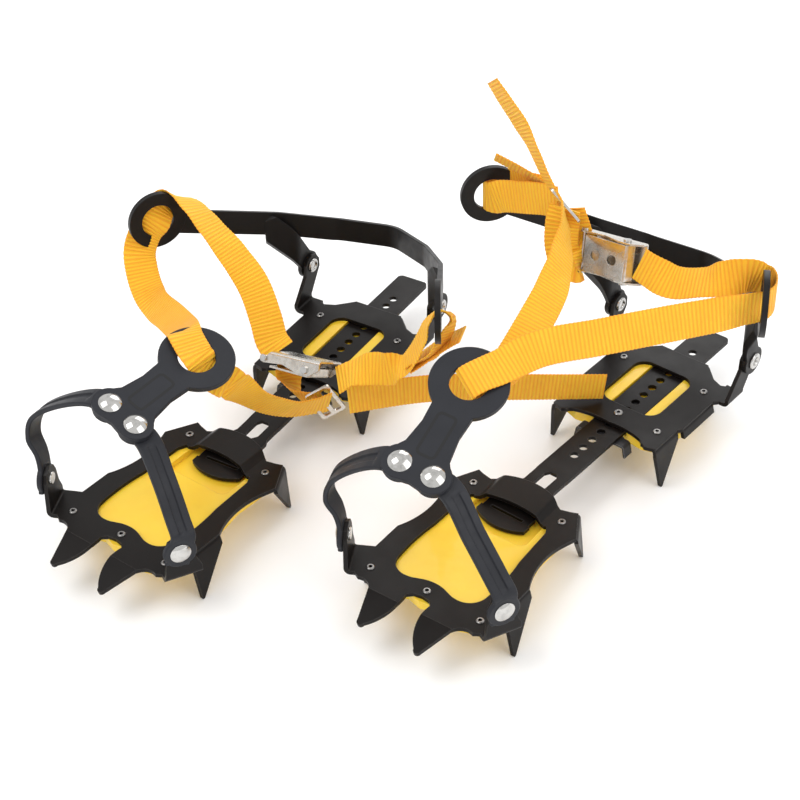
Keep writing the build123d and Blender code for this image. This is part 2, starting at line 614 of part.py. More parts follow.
# ---- buckle and slider --------------------------------------------------------------------
def buckle_plane(crampon):
    centre, length_way, width_way = (Vector(*v) for v in crampon["buckle"])
    along = length_way.normalized()
    across = (width_way - along * along.dot(width_way)).normalized()
    return Plane(origin=centre, x_dir=along, z_dir=along.cross(across))


def buckle_frame():
    """A folded channel: base plate and two side flanges."""
    with BuildPart() as frame:
        with BuildSketch(Plane.YZ):
            with BuildLine():
                FilletPolyline((-FLANGE, 7), (-FLANGE, -4), (FLANGE, -4), (FLANGE, 7), radius=1.5)
            trace(line_width=BUCKLE_SHEET)
        extrude(amount=22, both=True)
        with BuildSketch(Plane.XZ):
            with BuildLine():
                Polyline((-23, 1.5), (-20, 3), (-6, 2), (6, 5.6), (14, 5.6), (20, 1), (20, -6), (-14, -6),
                         (-18, -1.8), (-23, -1.8), close=True)
            make_face()
        extrude(amount=30, both=True, mode=Mode.INTERSECT)
        for x, z, radius in ((*BUCKLE_PIVOT, 1.5), (*BUCKLE_BAR, 1.2)):
            with Locations(Plane(origin=(x, 0, z), z_dir=(0, 1, 0))):
                Cylinder(radius, 40, mode=Mode.SUBTRACT)
    return frame.part


def buckle_pin(place, radius, head):
    x, z = place
    reach = FLANGE + BUCKLE_SHEET / 2
    with BuildPart() as pin:
        with Locations(Plane(origin=(x, 0, z), z_dir=(0, 1, 0))):
            Cylinder(radius, 2 * reach)
        for side in (1, -1):
            with Locations(Plane(origin=(x, side * (reach + 0.6), z), z_dir=(0, 1, 0))):
                Cylinder(head, 1.2)
    return pin.part


def buckle_lever():
    """The pressed plate with two round holes that clamps the strap with its toothed end."""
    x, z = BUCKLE_PIVOT
    half = FLANGE - BUCKLE_SHEET / 2 - 0.3
    with BuildPart() as lever:
        with BuildSketch(Plane.XZ):
            with BuildLine():
                FilletPolyline((-16, 4.8), (x + 2.2, 5.9), (x + 4.3, 0.6), radius=1.2)
            trace(line_width=BUCKLE_SHEET)
        extrude(amount=half, both=True)
        with Locations((-8.5, 0, 0), (3.0, 0, 0)):
            Cylinder(3.1, 20, mode=Mode.SUBTRACT)
        for side in (1, -1):
            with BuildSketch(Plane(origin=(0, side * half, 0), x_dir=(1, 0, 0), z_dir=(0, -1, 0))):
                with Locations((x, z)):
                    Circle(2.6)
                with BuildLine():
                    Polyline((x - 3.5, 5.4), (x + 1.5, 5.8), (x + 2.4, z - 1), (x - 2.4, z - 1), close=True)
                make_face()
            extrude(amount=side * 1.2)
        with Locations(Plane(origin=(x, 0, z), z_dir=(0, 1, 0))):
            Cylinder(1.5 + PIVOT_CLEARANCE, 40, mode=Mode.SUBTRACT)
    return lever.part


def buckle_spring():
    """The torsion spring's coil round the pivot pin, as one sleeve."""
    x, z = BUCKLE_PIVOT
    with BuildPart() as spring:
        with Locations(Plane(origin=(x, 0, z), z_dir=(0, 1, 0))):
            Cylinder(2.3, 8)
            Cylinder(1.7, 8, mode=Mode.SUBTRACT)
    return spring.part


def slider():
    """The tri-glide: a flat frame with two slots either side of its middle bar."""
    with BuildPart() as glide:
        with BuildSketch(Plane.XY):
            RectangleRounded(SLIDER[0], SLIDER[1], 2)
            with Locations((0, 3.6), (0, -3.6)):
                RectangleRounded(WEB_WIDTH + 0.8, 4.4, 1.2, mode=Mode.SUBTRACT)
        extrude(amount=0.8, both=True)
    return glide.part


# ---- webbing ------------------------------------------------------------------------------
def strap(points, across):
    """One run of webbing through hand-set points; across gives the width direction at each."""
    return ribbon([(point, way, WEB_WIDTH) for point, way in zip(points, across)], WEB_THICK)


def tail(points, across, name):
    """A free end of webbing: straight runs joined by tangent arcs, flat in one plane."""
    vectors = [Vector(*p) for p in points]
    way = Vector(*across).normalized()
    flat = [v - way * (v - vectors[0]).dot(way) for v in vectors]
    frame = Plane(origin=flat[0], x_dir=(flat[1] - flat[0]).normalized(), z_dir=way)
    local = [frame.to_local_coords(v) for v in flat]
    radii = []
    for before, at, after in zip(local, local[1:], local[2:]):
        turn = radians((at - before).get_angle(after - at))
        radii.append(0.45 * min((at - before).length, (after - at).length) / tan(turn / 2))
    with BuildPart() as piece:
        with BuildSketch(frame):
            with BuildLine() as line:
                FilletPolyline(*[(v.X, v.Y) for v in local], radius=radii)
            trace(line_width=WEB_THICK)
        extrude(amount=WEB_WIDTH / 2, both=True)
    length = sum(edge.length for edge in line.edges())
    print(name, "radii", [round(r, 1) for r in radii], "length", round(length, 1),
          "volume ratio", round(piece.part.volume / (length * WEB_WIDTH * WEB_THICK), 3))
    return piece.part


# ---- writing both crampons ----------------------------------------------------------------
def main():
    os.makedirs("parts", exist_ok=True)
    for name, crampon in CRAMPONS.items():
        front = Location((*crampon["origin"], 0), (0, 0, crampon["yaw"]))
        swing = Location((0, SWIVEL_Y, 0), (0, 0, crampon["swing"])) * Location((0, -SWIVEL_Y, 0))
        rear = front * swing
        heel = rear * Location((0, crampon["heel_shift"], 0))
        keep(front_plate().moved(front), f"{name}_front_plate")
        keep(front_anti_balling_pad().moved(front), f"{name}_front_anti_balling_pad")
        rivets = tubular_rivets(FRONT_RIVETS, FRONT_TOP, PAD_BOTTOM)
        keep(rivets.moved(front), f"{name}_front_plate_rivets")
        keep(ear_rivets(TOE_EAR, turn=EAR_TURN).moved(front), f"{name}_toe_pivot_rivets")
        keep(bar().moved(rear * Location((0, crampon["bar_shift"], 0))), f"{name}_bar")
        keep(heel_plate().moved(heel), f"{name}_heel_plate")
        keep(heel_anti_balling_pad().moved(heel), f"{name}_heel_anti_balling_pad")
        rivets = tubular_rivets(HEEL_RIVETS, HEEL_TOP, HEEL_PAD_BOTTOM)
        keep(rivets.moved(heel), f"{name}_heel_plate_rivets")
        keep(lock_rivet().moved(heel), f"{name}_lock_rivet")
        keep(ear_rivets(HEEL_EAR, dome=5.0).moved(heel), f"{name}_heel_pivot_rivets")
        keep(lock_leaf().moved(heel), f"{name}_lock_leaf")
        keep(lock_pin().moved(heel), f"{name}_lock_pin")
        keep(toe_ring(crampon).moved(front), f"{name}_toe_ring")
        keep(toe_arm(crampon, -1).moved(front), f"{name}_toe_arm_left")
        keep(toe_arm(crampon, 1).moved(front), f"{name}_toe_arm_right")
        keep(snap_rivets(crampon).moved(front), f"{name}_snap_rivets")
        keep(heel_band(crampon).moved(rear), f"{name}_heel_band")
        buckle = buckle_plane(crampon).location
        keep(buckle_frame().moved(buckle), f"{name}_buckle_frame")
        keep(buckle_lever().moved(buckle), f"{name}_buckle_lever")
        keep(buckle_pin(BUCKLE_PIVOT, 1.5, 2.4).moved(buckle), f"{name}_buckle_pivot")
        keep(buckle_pin(BUCKLE_BAR, 1.2, 2.2).moved(buckle), f"{name}_buckle_strap_bar")
        keep(buckle_spring().moved(buckle), f"{name}_buckle_spring")
        centre, length_way, width_way = (Vector(*v) for v in crampon["slider"])
        along = length_way.normalized()
        width_way = (width_way - along * along.dot(width_way)).normalized()
        seat = Plane(origin=centre, x_dir=along, z_dir=along.cross(width_way)).location
        keep(slider().moved(seat), f"{name}_slider")
    for name, run in HELD.items():
        keep(strap([point for point, _ in run], [way for _, way in run]), name)
    for name, (points, across) in TAILS.items():
        keep(tail(points, across, name), name)


main()
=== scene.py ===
"""A pair of strap-on crampons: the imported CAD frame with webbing, rubber, steel and light."""
import json
import math

import bpy
from mathutils import Matrix, Vector


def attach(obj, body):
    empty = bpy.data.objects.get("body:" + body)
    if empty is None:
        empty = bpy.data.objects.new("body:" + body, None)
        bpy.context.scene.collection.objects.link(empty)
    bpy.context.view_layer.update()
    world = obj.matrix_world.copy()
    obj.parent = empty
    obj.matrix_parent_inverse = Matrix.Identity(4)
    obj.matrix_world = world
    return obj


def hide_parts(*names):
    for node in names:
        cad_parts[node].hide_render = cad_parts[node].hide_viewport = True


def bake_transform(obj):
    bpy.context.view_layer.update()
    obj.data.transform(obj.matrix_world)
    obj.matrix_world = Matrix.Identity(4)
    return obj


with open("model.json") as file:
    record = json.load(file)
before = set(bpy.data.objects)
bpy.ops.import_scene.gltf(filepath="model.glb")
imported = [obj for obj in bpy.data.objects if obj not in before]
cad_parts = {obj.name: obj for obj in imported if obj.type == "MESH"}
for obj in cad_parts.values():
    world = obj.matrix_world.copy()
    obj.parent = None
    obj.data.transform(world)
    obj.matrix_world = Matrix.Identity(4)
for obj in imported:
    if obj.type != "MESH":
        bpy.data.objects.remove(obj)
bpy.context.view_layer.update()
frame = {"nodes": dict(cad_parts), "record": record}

# Routes and places are in millimetres, in crampon b's frame. The part's own origin is MIDDLE.
MIDDLE = Vector((-92.27, 13.35, 0.0))
RIB_PITCH = 2.3  # crosswise ribs of the webbing
THREAD_PITCH = 0.55  # its lengthwise threads
WEB_HALF = 10.0  # half of its width
SEGMENTS = 48  # round a turned piece
WEB_BUMP = 0.7  # strength of its bump
BAR_PIVOT = 8  # where the length bar turns in the front plate, along Y
LENGTH_STEP = 6.5  # crampon a's heel plate sits this much further forward on its bar
FRONT = {
    "a": Matrix.Translation((-165.6, -60.8, 0)) @ Matrix.Rotation(math.radians(-1.75), 4, "Z"),
    "b": Matrix.Identity(4),
}


def rear_of(name, swing):
    """The frame of what the bar carries, swung in the front plate by some degrees."""
    pivot = Matrix.Translation((0, BAR_PIVOT, 0))
    return FRONT[name] @ pivot @ Matrix.Rotation(math.radians(swing), 4, "Z") @ pivot.inverted()


REAR = {"a": rear_of("a", 6.65), "b": rear_of("b", -3.59)}
HEEL = {"a": REAR["a"] @ Matrix.Translation((0, -LENGTH_STEP, 0)), "b": REAR["b"]}


def metres(point):
    return (Vector(point) - MIDDLE) * 0.001


# ---- materials ------------------------------------------------------------------------------
class Look:
    """One procedural material under construction."""

    def __init__(self, name, colour, roughness, metallic=0.0, **extra):
        self.mat = bpy.data.materials.new(name)
        self.mat.use_nodes = True
        self.tree = self.mat.node_tree
        self.shader = self.tree.nodes["Principled BSDF"]
        self.shader.inputs["Base Color"].default_value = (*colour, 1)
        self.shader.inputs["Roughness"].default_value = roughness
        self.shader.inputs["Metallic"].default_value = metallic
        for key, value in extra.items():
            socket = "IOR" if key == "ior" else key.replace("_", " ").title()
            self.shader.inputs[socket].default_value = value

    def node(self, kind, settings=None, **inputs):
        """A node whose inputs are given by name, or as i0, i1 and so on by index."""
        node = self.tree.nodes.new(kind)
        for key, value in (settings or {}).items():
            setattr(node, key, value)
        for key, value in inputs.items():
            by_index = key[0] == "i" and key[1:].isdigit()
            socket = node.inputs[int(key[1:]) if by_index else key]
            if isinstance(value, bpy.types.NodeSocket):
                self.tree.links.new(value, socket)
            else:
                socket.default_value = value
        return node

    def noise(self, scale, detail=3.0, roughness=0.5):
        place = self.node("ShaderNodeTexCoord").outputs["Object"]
        node = self.node("ShaderNodeTexNoise", Scale=scale, Detail=detail, Roughness=roughness,
                         Vector=place)
        return node.outputs["Fac"]

    def span(self, value, low, high, to_low=0.0, to_high=1.0):
        node = self.node("ShaderNodeMapRange", i0=value, i1=low, i2=high, i3=to_low, i4=to_high)
        return node.outputs[0]

    def mix(self, factor, first, second):
        node = self.node("ShaderNodeMix", {"data_type": "RGBA"}, i0=factor)
        for index, value in ((6, first), (7, second)):
            if isinstance(value, bpy.types.NodeSocket):
                self.tree.links.new(value, node.inputs[index])
            else:
                node.inputs[index].default_value = (*value, 1)
        return node.outputs[2]

    def maths(self, operation, first, second):
        return self.node("ShaderNodeMath", {"operation": operation}, i0=first, i1=second).outputs[0]

    def bump(self, height, strength, distance, normal=None):
        node = self.node("ShaderNodeBump", Height=height, Strength=strength, Distance=distance)
        if normal:
            self.tree.links.new(normal, node.inputs["Normal"])
        return node.outputs["Normal"]

    def rounded(self, radius):
        return self.node("ShaderNodeBevel", {"samples": 6}, Radius=radius).outputs["Normal"]

    def edges(self, rounded):
        """1 where the rounded normal leaves the real one, which is along the edges."""
        true = self.node("ShaderNodeNewGeometry").outputs["True Normal"]
        dot = self.node("ShaderNodeVectorMath", {"operation": "DOT_PRODUCT"}, i0=rounded, i1=true)
        return self.span(dot.outputs["Value"], 0.985, 0.86)

    def set(self, socket, value):
        self.tree.links.new(value, self.shader.inputs[socket])

    def uneven(self, scale, detail, smoothest, roughest):
        """Lets the roughness wander between two values."""
        noise = self.noise(scale, detail)
        self.set("Roughness", self.span(noise, 0.3, 0.7, smoothest, roughest))


def toned(colour, factor):
    return tuple(c * factor for c in colour)


def painted_steel(name, colour, edge_wear_and_highlight, roughness):
    look = Look(name, colour, roughness, ior=1.24, coat_weight=0.10, coat_roughness=0.3)
    rounded = look.rounded(0.0007)
    # painted highlight and wear: the edges are brightened in the colour, partly as real wear and
    # partly as the highlight a rounded edge catches
    scuff_and_highlight = look.noise(420.0, 6.0, 0.7)
    edges = look.maths("MULTIPLY", look.edges(rounded), look.span(scuff_and_highlight, 0.35, 0.62, 0.25, 1.0))
    mottled = look.mix(look.noise(38.0, 4.0), toned(colour, 0.75), toned(colour, 1.5))
    look.set("Base Color", look.mix(edges, mottled, edge_wear_and_highlight))
    look.uneven(90.0, 5.0, roughness - 0.07, roughness + 0.08)
    look.set("Normal", look.bump(look.noise(1500.0, 2.0), 0.10, 0.0003, rounded))
    return look.mat


def plated(name, colour, roughness, grain):
    look = Look(name, colour, roughness, 1.0)
    dirt = look.noise(260.0, 5.0, 0.65)
    look.set("Base Color", look.mix(look.span(dirt, 0.45, 0.75), colour, toned(colour, 0.72)))
    look.uneven(130.0, 4.0, roughness * 0.7, roughness * 1.35)
    look.set("Normal", look.bump(look.noise(900.0, 3.0), grain, 0.0002, look.rounded(0.0003)))
    return look.mat


def rubber(name, colour, roughness):
    look = Look(name, colour, roughness, ior=1.33)
    rounded = look.rounded(0.0009)
    tone = look.mix(look.noise(60.0, 4.0), toned(colour, 0.8), toned(colour, 1.3))
    look.set("Base Color", tone)
    look.uneven(180.0, 4.0, roughness - 0.05, roughness + 0.08)
    look.set("Normal", look.bump(look.noise(2200.0, 2.0), 0.12, 0.0002, rounded))
    return look.mat


def yellow_pad():
    look = Look("pad_yellow", (0.90, 0.56, 0.03), 0.36, coat_weight=0.15, subsurface_weight=0.12,
                subsurface_scale=0.002)
    tone = look.mix(look.noise(45.0, 3.0), (0.88, 0.54, 0.026), (0.97, 0.68, 0.045))
    look.set("Base Color", tone)
    ripple = look.noise(75.0, 1.5, 0.4)
    look.set("Normal", look.bump(ripple, 0.5, 0.0016, look.rounded(0.0008)))
    return look.mat


def webbing():
    """Ribs and threads follow the UV map, which holds millimetres across and along the web."""
    look = Look("webbing", (0.94, 0.44, 0.018), 0.62, sheen_weight=0.08, sheen_roughness=0.45,
                subsurface_weight=0.10, subsurface_scale=0.0012)
    flat = look.node("ShaderNodeUVMap").outputs[0]
    across, along, _ = look.node("ShaderNodeSeparateXYZ", Vector=flat).outputs
    rib = look.maths("SINE", look.maths("MULTIPLY", along, 2 * math.pi / RIB_PITCH), 0.0)
    thread = look.maths("SINE", look.maths("MULTIPLY", across, 2 * math.pi / THREAD_PITCH), 0.0)
    slow = look.noise(55.0, 3.0)
    body = look.mix(slow, (1.0, 0.47, 0.008), (1.0, 0.60, 0.022))
    # painted shade: the valleys between the ribs are darkened to a deeper orange
    valley_shade = look.span(rib, -1.0, 0.1, 1.0, 0.0)
    shaded = look.mix(look.maths("MULTIPLY", valley_shade, 0.62), body, (0.88, 0.27, 0.002))
    outside = look.span(look.maths("ABSOLUTE", across, 0.0), WEB_HALF - 0.8, WEB_HALF - 0.1)
    border = look.maths("MULTIPLY", outside, 0.55)
    look.set("Base Color", look.mix(border, shaded, (0.88, 0.30, 0.004)))
    fuzz = look.noise(3200.0, 2.0)
    height = look.maths("ADD", look.maths("MULTIPLY", thread, 0.35), look.maths("ADD", rib, fuzz))
    look.set("Normal", look.bump(height, WEB_BUMP, 0.0003))
    return look.mat


LOOKS = {
    # the second colour of each painted steel is its brightened edge: partly wear, partly painted
    # highlight
    "black_steel": painted_steel("black_steel", (0.0060, 0.0044, 0.0038),
                                 (0.07, 0.065, 0.06), 0.40),
    "dark_steel": painted_steel("dark_steel", (0.03, 0.03, 0.032), (0.25, 0.24, 0.23), 0.36),
    "bright_steel": plated("bright_steel", (0.66, 0.63, 0.58), 0.24, 0.12),
    "nickel": plated("nickel", (0.58, 0.57, 0.55), 0.12, 0.05),
    "dull_nickel": plated("dull_nickel", (0.30, 0.29, 0.28), 0.30, 0.10),
    "toe_rubber": rubber("toe_rubber", (0.018, 0.019, 0.0235), 0.46),
    "heel_rubber": rubber("heel_rubber", (0.0070, 0.0060, 0.0060), 0.40),
    "pad_yellow": yellow_pad(),
    "webbing": webbing(),
    # painted shade: near-black, for the shade inside the toe ring's moulded groove
    "groove_shade": Look("groove_shade", (0.004, 0.004, 0.005), 0.7).mat,
}
for row in frame["record"]["subparts"]:
    node = frame["nodes"][row["node"]]
    worn = row["node"].endswith(("_plate_rivets", "_lock_rivet"))
    for material_slot in node.material_slots:
        material_slot.link = "OBJECT"
        material_slot.material = LOOKS["dull_nickel" if worn else row["material_slot"]]


# ---- mesh building --------------------------------------------------------------------------
def build(name, verts, faces, slot, uvs=None, sharp=38.0, look=None):
    """A mesh object from millimetre points in the pair's frame."""
    mesh = bpy.data.meshes.new(name)
    mesh.from_pydata([metres(v) for v in verts], [], faces)
    if uvs:
        layer = mesh.uv_layers.new(name="UVMap")
        for loop in mesh.loops:
            layer.data[loop.index].uv = uvs[loop.vertex_index]
    mesh.shade_smooth()
    mesh.set_sharp_from_angle(angle=math.radians(sharp))
    mesh.materials.append(LOOKS[look or slot])
    obj = bpy.data.objects.new(name, mesh)
    bpy.context.scene.collection.objects.link(obj)
    return obj


def catmull(values, knots, i, t):
    """Centripetal Catmull-Rom between values[i] and values[i + 1]."""
    def at(j):
        if j < 0:
            return values[0] * 2 - values[1], knots[0] * 2 - knots[1]
        if j >= len(values):
            return values[-1] * 2 - values[-2], knots[-1] * 2 - knots[-2]
        return values[j], knots[j]

    (p0, t0), (p1, t1), (p2, t2), (p3, t3) = (at(j) for j in (i - 1, i, i + 1, i + 2))
    x = t1 + (t2 - t1) * t
    a1 = p0 * ((t1 - x) / (t1 - t0)) + p1 * ((x - t0) / (t1 - t0))
    a2 = p1 * ((t2 - x) / (t2 - t1)) + p2 * ((x - t1) / (t2 - t1))
    a3 = p2 * ((t3 - x) / (t3 - t2)) + p3 * ((x - t2) / (t3 - t2))
    b1 = a1 * ((t2 - x) / (t2 - t0)) + a2 * ((x - t0) / (t2 - t0))
    b2 = a2 * ((t3 - x) / (t3 - t1)) + a3 * ((x - t1) / (t3 - t1))
    return b1 * ((t2 - x) / (t2 - t1)) + b2 * ((x - t1) / (t2 - t1))


def smooth_route(stations, step):
    """Samples a smooth line through (point, width direction[, width]) stations every step mm.
    Returns rows of (station parameter, arc length, point, side, up, width)."""
    points = [Vector(s[0]) for s in stations]
    sides = [Vector(s[1]).normalized() for s in stations]
    widths = [s[2] if len(s) > 2 else 2 * WEB_HALF for s in stations]
    knots = [0.0]
    for a, b in zip(points, points[1:]):
        knots.append(knots[-1] + max((b - a).length, 0.1) ** 0.5)
    fine = []
    for i in range(len(points) - 1):
        count = max(4, int((points[i + 1] - points[i]).length / step * 4))
        for k in range(count + (i == len(points) - 2)):
            t = k / count
            ease = t * t * (3 - 2 * t)
            fine.append((i + t, catmull(points, knots, i, t), sides[i].lerp(sides[i + 1], ease),
                         widths[i] + (widths[i + 1] - widths[i]) * ease))
    lengths = [0.0]
    for a, b in zip(fine, fine[1:]):
        lengths.append(lengths[-1] + (b[1] - a[1]).length)
    rows, count, j = [], max(2, round(lengths[-1] / step)), 0
    for k in range(count + 1):
        s = lengths[-1] * k / count
        while j < len(fine) - 2 and lengths[j + 1] < s:
            j += 1
        f = (s - lengths[j]) / max(lengths[j + 1] - lengths[j], 1e-9)
        a, b = fine[j], fine[j + 1]
        rows.append([a[0] + (b[0] - a[0]) * f, s, a[1].lerp(b[1], f), a[2].lerp(b[2], f), None,
                     a[3] + (b[3] - a[3]) * f])
    for k, row in enumerate(rows):
        tangent = (rows[min(k + 1, count)][2] - rows[max(k - 1, 0)][2]).normalized()
        row[3] = (row[3] - tangent * row[3].dot(tangent)).normalized()
        row[4] = tangent.cross(row[3])
    return rows


def swept(name, rows, profile, slot, ribs=False, look=None):
    """Sweeps profile(row, rib) along the rows, with an end face at each end. With ribs, rib is
    1 and -1 by turns, counted along the whole web where the rows carry their number."""
    verts, faces, uvs = [], [], []
    for k, row in enumerate(rows):
        s, point, side, up = row[1:5]
        for u, w in profile(row, (-1) ** (row[6] if len(row) > 6 else k) if ribs else 0):
            verts.append(point + side * u + up * w)
            uvs.append((u, s))
    n = len(verts) // len(rows)
    for k in range(len(rows) - 1):
        for j in range(n):
            a, b = k * n + j, k * n + (j + 1) % n
            faces.append((a, b, b + n, a + n))
    faces.append(tuple(reversed(range(n))))
    faces.append(tuple(range(len(verts) - n, len(verts))))
    return build(name, verts, faces, slot, uvs, look=look)


def web_profile(row, rib):
    """Ribbed webbing 1.3 mm thick, with a rounded, finely toothed edge."""
    half = row[5] / 2 + 0.12 * rib
    thick = 0.55 + 0.13 * rib
    top = [(-half, 0.0), (-half + 0.35, thick * 0.8), (-half + 1.2, thick), (-half / 2, thick),
           (0, thick), (half / 2, thick), (half - 1.2, thick), (half - 0.35, thick * 0.8)]
    return top + [(-u, -w) for u, w in top]


def web(name, stations, spans, replaces):
    """Webbing along stations, cut at station numbers.
    spans holds (last station, body or pair of bodies)."""
    rows = smooth_route(stations, RIB_PITCH / 2)
    for k, row in enumerate(rows):
        row.append(k)
    start = 0
    for number, (last, owner) in enumerate(spans, 1):
        end = max(k for k, row in enumerate(rows) if row[0] <= last + 1e-6)
        part = rows[start:end + 1]
        piece = swept(f"{name}_{number}", part, web_profile, "webbing", ribs=True)
        if isinstance(owner, str):
            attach(piece, owner)
        else:
            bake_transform(piece)
        if number == 1:
            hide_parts(*replaces)
        start = end


def lathe_points(profile, matrix, verts, faces):
    """Adds a solid of revolution about +Z of matrix, from a profile of (radius, height)."""
    base, n = len(verts), len(profile)
    for k in range(SEGMENTS):
        angle = 2 * math.pi * k / SEGMENTS
        for r, z in profile:
            verts.append(matrix @ Vector((r * math.cos(angle), r * math.sin(angle), z)))
    for k in range(SEGMENTS):
        for j in range(n - 1):
            a, b = base + k * n + j, base + (k + 1) % SEGMENTS * n + j
            faces.append((a, b, b + 1, a + 1))


def facing(point, axis):
    """A matrix at point with its Z along axis."""
    turn = Vector(axis).to_track_quat("Z", "Y").to_matrix().to_4x4()
    return Matrix.Translation(point) @ turn


def lathed(name, profile, places, slot, body, replaces):
    verts, faces = [], []
    for matrix in places:
        lathe_points(profile, matrix, verts, faces)
    piece = build(name, verts, faces, slot, sharp=50.0)
    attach(piece, body)
    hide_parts(*replaces)


# ---- camera and light -----------------------------------------------------------------------
scene = bpy.context.scene
scene.view_settings.view_transform = "Standard"
camera = bpy.data.objects.new("camera", bpy.data.cameras.new("camera"))
camera.data.lens, camera.data.sensor_width = 82.4, 36.0
camera.data.clip_start, camera.data.clip_end = 0.05, 20.0
turn = (Matrix.Rotation(math.radians(37.32), 4, "Z") @ Matrix.Rotation(math.radians(51.97), 4, "X")
        @ Matrix.Rotation(math.radians(-1.84), 4, "Z"))
camera.matrix_world = Matrix.Translation(metres((425.0, -663.5, 719.9))) @ turn
scene.collection.objects.link(camera)
scene.camera = camera

FLOOR_HALF, FLOOR_DROP = 4, 0.0004  # metres: half its side, and its gap below the teeth
floor_look = Look("floor", (1.0, 1.0, 1.0), 0.8)
floor_mesh = bpy.data.meshes.new("floor")
corners = ((-FLOOR_HALF, -FLOOR_HALF), (FLOOR_HALF, -FLOOR_HALF), (FLOOR_HALF, FLOOR_HALF),
           (-FLOOR_HALF, FLOOR_HALF))
floor_mesh.from_pydata([(x, y, -FLOOR_DROP) for x, y in corners], [], [(0, 1, 2, 3)])
floor_mesh.materials.append(floor_look.mat)
floor = bpy.data.objects.new("floor", floor_mesh)
scene.collection.objects.link(floor)

world = bpy.data.worlds.new("world")
world.use_nodes = True
world.node_tree.nodes["Background"].inputs["Color"].default_value = (1, 1, 1, 1)
world.node_tree.nodes["Background"].inputs["Strength"].default_value = 0.92
scene.world = world


def area_light(name, place, target, size, power):
    lamp = bpy.data.lights.new(name, "AREA")
    lamp.shape, lamp.size, lamp.energy = "SQUARE", size, power
    obj = bpy.data.objects.new(name, lamp)
    obj.location = place
    obj.rotation_mode = "QUATERNION"
    obj.rotation_quaternion = (Vector(target) - Vector(place)).to_track_quat("-Z", "Y")
    scene.collection.objects.link(obj)


area_light("key", (-0.5, -0.7, 1.5), (0, 0, 0.03), 0.9, 9.0)
area_light("fill", (1.3, 0.1, 1.1), (0, 0, 0.05), 1.2, 7.0)
area_light("back", (-0.4, 1.3, 1.0), (0, 0, 0.05), 1.0, 6.0)

# ---- routes of the webbing ----------------------------------------------------------------------
# A station is a point on the web's middle line and the direction of its width there. Where a run
# crosses joints, it is cut into spans, each given the pair of CHAIN bodies that it lies between.
CHAIN = ("toe_bail", "front", "bar", "heel", "heel_strap")


def joint_spans(name, numbers, chain):
    """Spans from one end of chain to the other, each with a pair of neighbouring bodies, cut at the
    station numbers.
    """
    return [(n, (f"{name}_{a}", f"{name}_{b}")) for n, a, b in zip(numbers, chain, chain[1:])]


# each toe ring: its middle, then its crosswise, lengthwise and upward directions
RING_B = (Vector((-9.07, -33.6, 131.5)), Vector((0.975, 0.139, -0.176)),
          Vector((-0.071, 0.935, 0.347)), Vector((0.213, -0.325, 0.921)))
RING_A = (Vector((-164.1, -77.2, 109.5)), Vector((0.951, -0.010, -0.310)),
          Vector((0.035, 0.997, 0.073)), Vector((0.308, -0.080, 0.948)))


def in_ring(ring, a, b, c):
    return ring[0] + ring[1] * a + ring[2] * b + ring[3] * c


def direction(ring, a, b, c=0.0):
    return ring[1] * a + ring[2] * b + ring[3] * c


# ---- webbing of crampon b ---------------------------------------------------------------------
# the long strap: slider, through the toe ring, round the right heel ring, to the buckle
fold_b = direction(RING_B, 0.82, -0.57)
long_b = [
    ((-37, 102, 160), (-0.34, 0.67, -0.64)),
    ((-30, 94, 153), (-0.14, 0.72, -0.67)),
    ((-20, 74, 147), (0.28, 0.71, -0.64)),
    ((-12, 50, 141), (0.69, 0.55, -0.46)),
    ((-8, 25, 134), (0.9, 0.33, -0.25)),
    ((-6, -2, 125), (0.92, 0.05, -0.3)),
    (in_ring(RING_B, 7.5, 14, -6.5), fold_b),
    (in_ring(RING_B, 4, 6.5, -4.4), fold_b),
    (in_ring(RING_B, 0.3, 0.6, -3.0), fold_b),
    (in_ring(RING_B, -1.6, -2.2, -0.2), fold_b),
    (in_ring(RING_B, -0.6, -0.8, 2.6), fold_b),
    (in_ring(RING_B, 3.5, 5.0, 4.0), fold_b),
    (in_ring(RING_B, 10.0, 14.0, 3.6), direction(RING_B, 0.84, -0.54, -0.1)),
    ((12, 1, 142), (0.45, -0.40, -0.80)),
    ((33, 27, 142.5), (0.45, -0.33, -0.83)),
    ((54, 54, 142.5), (0.42, -0.30, -0.85)),
    ((73, 79, 142), (0.30, -0.20, -0.93)),
    ((86, 96.5, 141.5), (0.05, -0.05, -1)),
    ((91.8, 104, 141.5), (0, 0, -1)),
    ((92.8, 111.5, 141.8), (0, 0, -1)),
    ((89.5, 120, 142.4), (0, 0, -1)),
    ((84.5, 125, 143), (0, 0.1, -1)),
    ((79, 123, 144), (0, 0.1, -1)),
    ((73, 116, 147), (0.2, -0.2, -0.95)),
    ((62, 111, 144), (0.25, -0.6, -0.75)),
    ((50, 109, 138), (0.1, -0.85, -0.5)),
    ((34, 107, 133), (0, -0.8, -0.6)),
    ((20, 105.5, 136), (0.1, -0.35, -0.92)),
    ((12, 106, 138), (0.1, -0.3, -0.95)),
]
web("b_long_web", long_b,
    joint_spans("b", (1.2, 3.1, 3.5, 5.0), CHAIN[::-1]) + [(12.4, "b_toe_bail")]
    + joint_spans("b", (13.8, 14.1, 15.7, 17.0), CHAIN) + [(28, "b_heel_strap")],
    ("b_long_strap_front", "b_long_strap_middle", "b_long_strap_back"))

